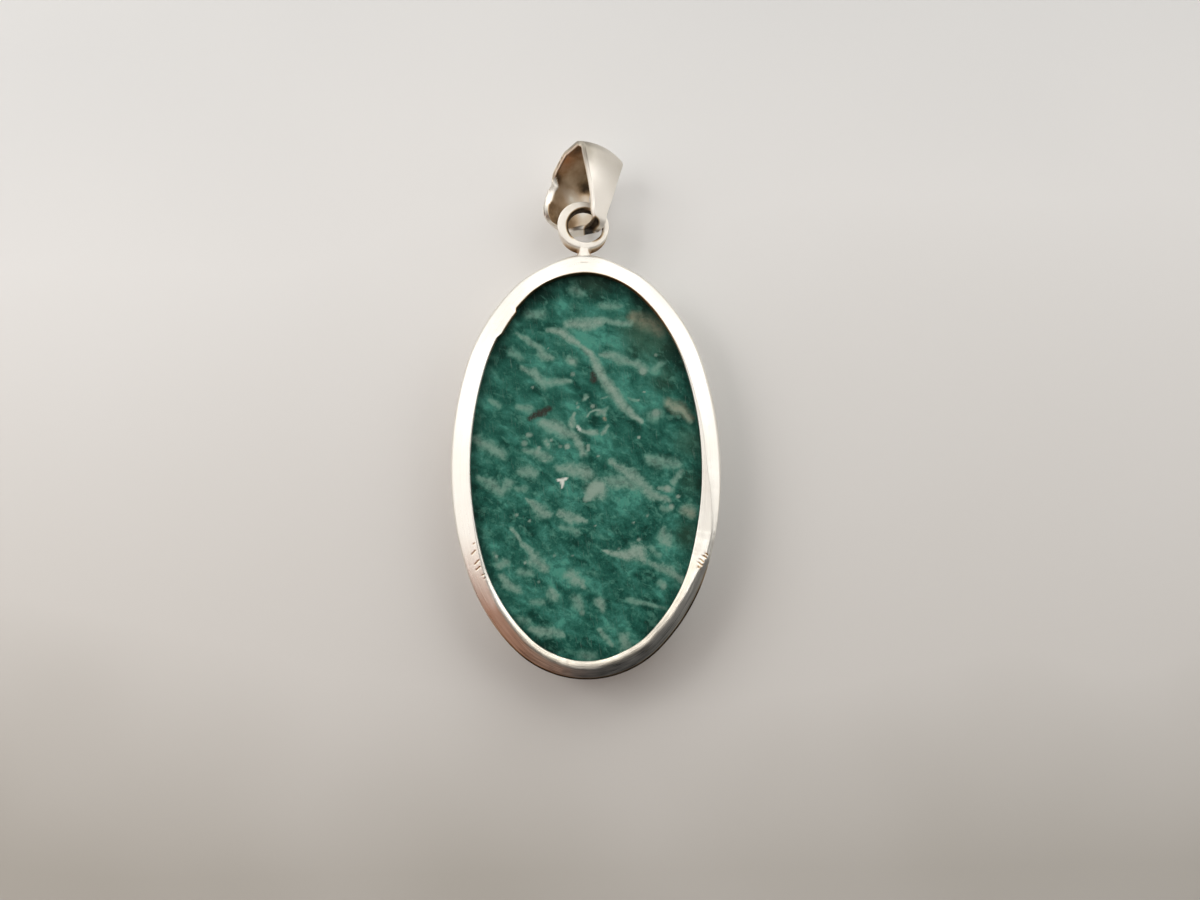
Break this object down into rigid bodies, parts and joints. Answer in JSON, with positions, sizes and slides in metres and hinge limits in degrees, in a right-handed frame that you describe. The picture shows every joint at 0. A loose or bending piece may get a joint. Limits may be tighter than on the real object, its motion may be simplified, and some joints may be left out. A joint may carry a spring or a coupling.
{
  "type": "pendant",
  "caption": "Oval silver pendant with an open-backed amazonite cabochon, a soldered top ring and a folded bail, lying face down.",
  "frame": {"origin": "middle of the whole length and width, in the plane of the front rim on which the pendant rests", "axes": "+Y along the oval towards the bail, +Z out of the back that the picture shows"},
  "size_m": [0.0258, 0.0518, 0.0078],
  "materials": {
    "silver": "satin silver with fine file marks, tarnished inside the bail",
    "amazonite": "matte-polished teal-green stone with pale streaks"
  },
  "bodies": {
    "pendant": {"setting": "silver", "stone": "amazonite"},
    "bail": {"bail": "silver"}
  },
  "joints": [
    {"name": "bail_swing", "type": "hinge", "parent": "pendant", "child": "bail", "pos_m": [0.00134, 0.0194, 0.00434], "axis": [0.7817, -0.6153, -0.1021], "range_deg": [0, 90]}
  ]
}
